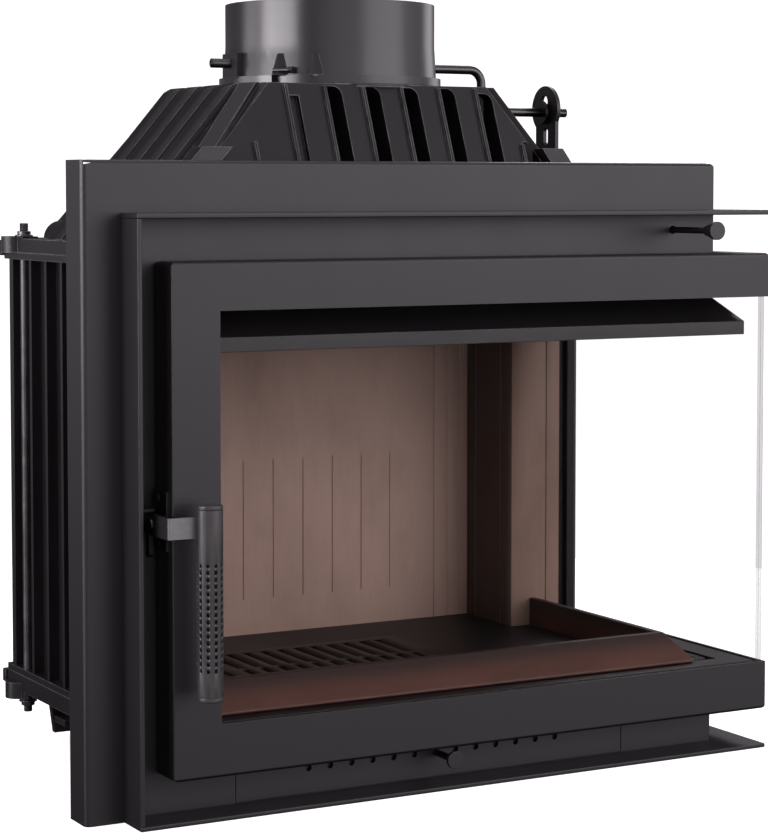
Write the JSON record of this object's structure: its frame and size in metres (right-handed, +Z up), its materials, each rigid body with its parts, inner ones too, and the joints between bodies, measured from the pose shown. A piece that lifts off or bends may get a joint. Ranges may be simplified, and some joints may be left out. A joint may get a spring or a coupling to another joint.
{
  "type": "fireplace insert",
  "caption": "Cast iron fireplace insert with an L-shaped glass door round its front right corner, ribbed hood, flue damper and ash drawer.",
  "frame": {"origin": "centre of the bounding box at floor level", "axes": "+X to the right seen from the front, +Y to the back, +Z up"},
  "size_m": [0.6866, 0.436, 0.7115],
  "materials": {
    "cast_iron_black": "fine cast, satin graphite",
    "steel_graphite": "satin graphite heat-resistant paint",
    "lining_brown": "matt, heat-browned",
    "baffle_tan": "matt pressed mineral board",
    "clear_glass": "clear heat-proof ceramic glass",
    "seal_black": "woven glass-fibre rope",
    "handle_steel": "satin dark steel",
    "fastener_steel": "blackened steel"
  },
  "bodies": {
    "firebox": {"base_plate": "cast_iron_black", "hearth_plate": "cast_iron_black", "left_wall": "cast_iron_black", "back_wall": "cast_iron_black", "right_column": "cast_iron_black", "front_frame": "cast_iron_black", "top_hood": "cast_iron_black", "flue_spigot": "cast_iron_black", "spigot_bolts": "fastener_steel", "tie_rods": "fastener_steel", "tie_rod_nuts": "fastener_steel", "ash_box": "steel_graphite", "drawer_runners": "steel_graphite", "legs": "cast_iron_black", "levelling_feet": "fastener_steel", "front_plate": "steel_graphite", "collar_top": "steel_graphite", "collar_left": "steel_graphite", "collar_bottom": "steel_graphite", "grate": "cast_iron_black", "log_guard_front": "cast_iron_black", "log_guard_side": "cast_iron_black", "left_lining": "lining_brown", "back_lining": "lining_brown", "right_lining": "lining_brown", "air_deflector": "steel_graphite", "smoke_baffle": "baffle_tan", "hinge_brackets": "cast_iron_black", "hinge_pins": "fastener_steel", "latch_keeper": "steel_graphite", "damper_rod_guide": "cast_iron_black"},
    "door": {"door_frame": "steel_graphite", "inner_frame": "steel_graphite", "front_glass": "clear_glass", "side_glass": "clear_glass", "glass_seal": "seal_black", "door_seal": "seal_black", "frame_screws": "fastener_steel", "hinge_leaves": "cast_iron_black", "latch_bracket": "steel_graphite", "latch_pivot": "fastener_steel"},
    "latch": {"latch_lever": "steel_graphite", "handle_tube": "handle_steel", "handle_caps": "handle_steel"},
    "ash_drawer": {"drawer_front": "steel_graphite", "drawer_floor": "steel_graphite", "drawer_sides": "steel_graphite", "drawer_ends": "steel_graphite"},
    "air_control": {"air_knob": "steel_graphite", "air_rod": "fastener_steel", "air_shutter": "steel_graphite", "air_nut": "fastener_steel"},
    "flue_damper": {"damper_shaft": "fastener_steel", "damper_disc": "cast_iron_black", "disc_screws": "fastener_steel", "crank_washers": "fastener_steel"},
    "damper_pull": {"damper_knob": "steel_graphite", "damper_rod": "fastener_steel", "yoke_plate": "steel_graphite", "yoke_nuts": "fastener_steel"}
  },
  "joints": [
    {"name": "door_swing", "type": "hinge", "parent": "firebox", "child": "door", "pos_m": [0.3247, 0.21075, 0.25], "axis": [0, 0, 1], "range_deg": [0, 100]},
    {"name": "handle_pull", "type": "hinge", "parent": "door", "child": "latch", "pos_m": [-0.2908, -0.16725, 0.257], "axis": [-1, 0, 0], "range_deg": [0, 25]},
    {"name": "drawer_slide", "type": "slide", "parent": "firebox", "child": "ash_drawer", "axis": [0, -1, 0], "range_m": [0, 0.22]},
    {"name": "air_slide", "type": "slide", "parent": "ash_drawer", "child": "air_control", "axis": [0, 1, 0], "range_m": [0, 0.015]},
    {"name": "damper_turn", "type": "hinge", "parent": "firebox", "child": "flue_damper", "pos_m": [-0.02, 0.03175, 0.6547], "axis": [-1, 0, 0], "range_deg": [-35, 45]},
    {"name": "damper_pull_slide", "type": "slide", "parent": "firebox", "child": "damper_pull", "axis": [0, -1, 0], "range_m": [-0.02305, 0.02964]}
  ],
  "couplings": [
    {"joint": "damper_pull_slide", "follows": "damper_turn", "m_per_rad": 0.03774}
  ]
}
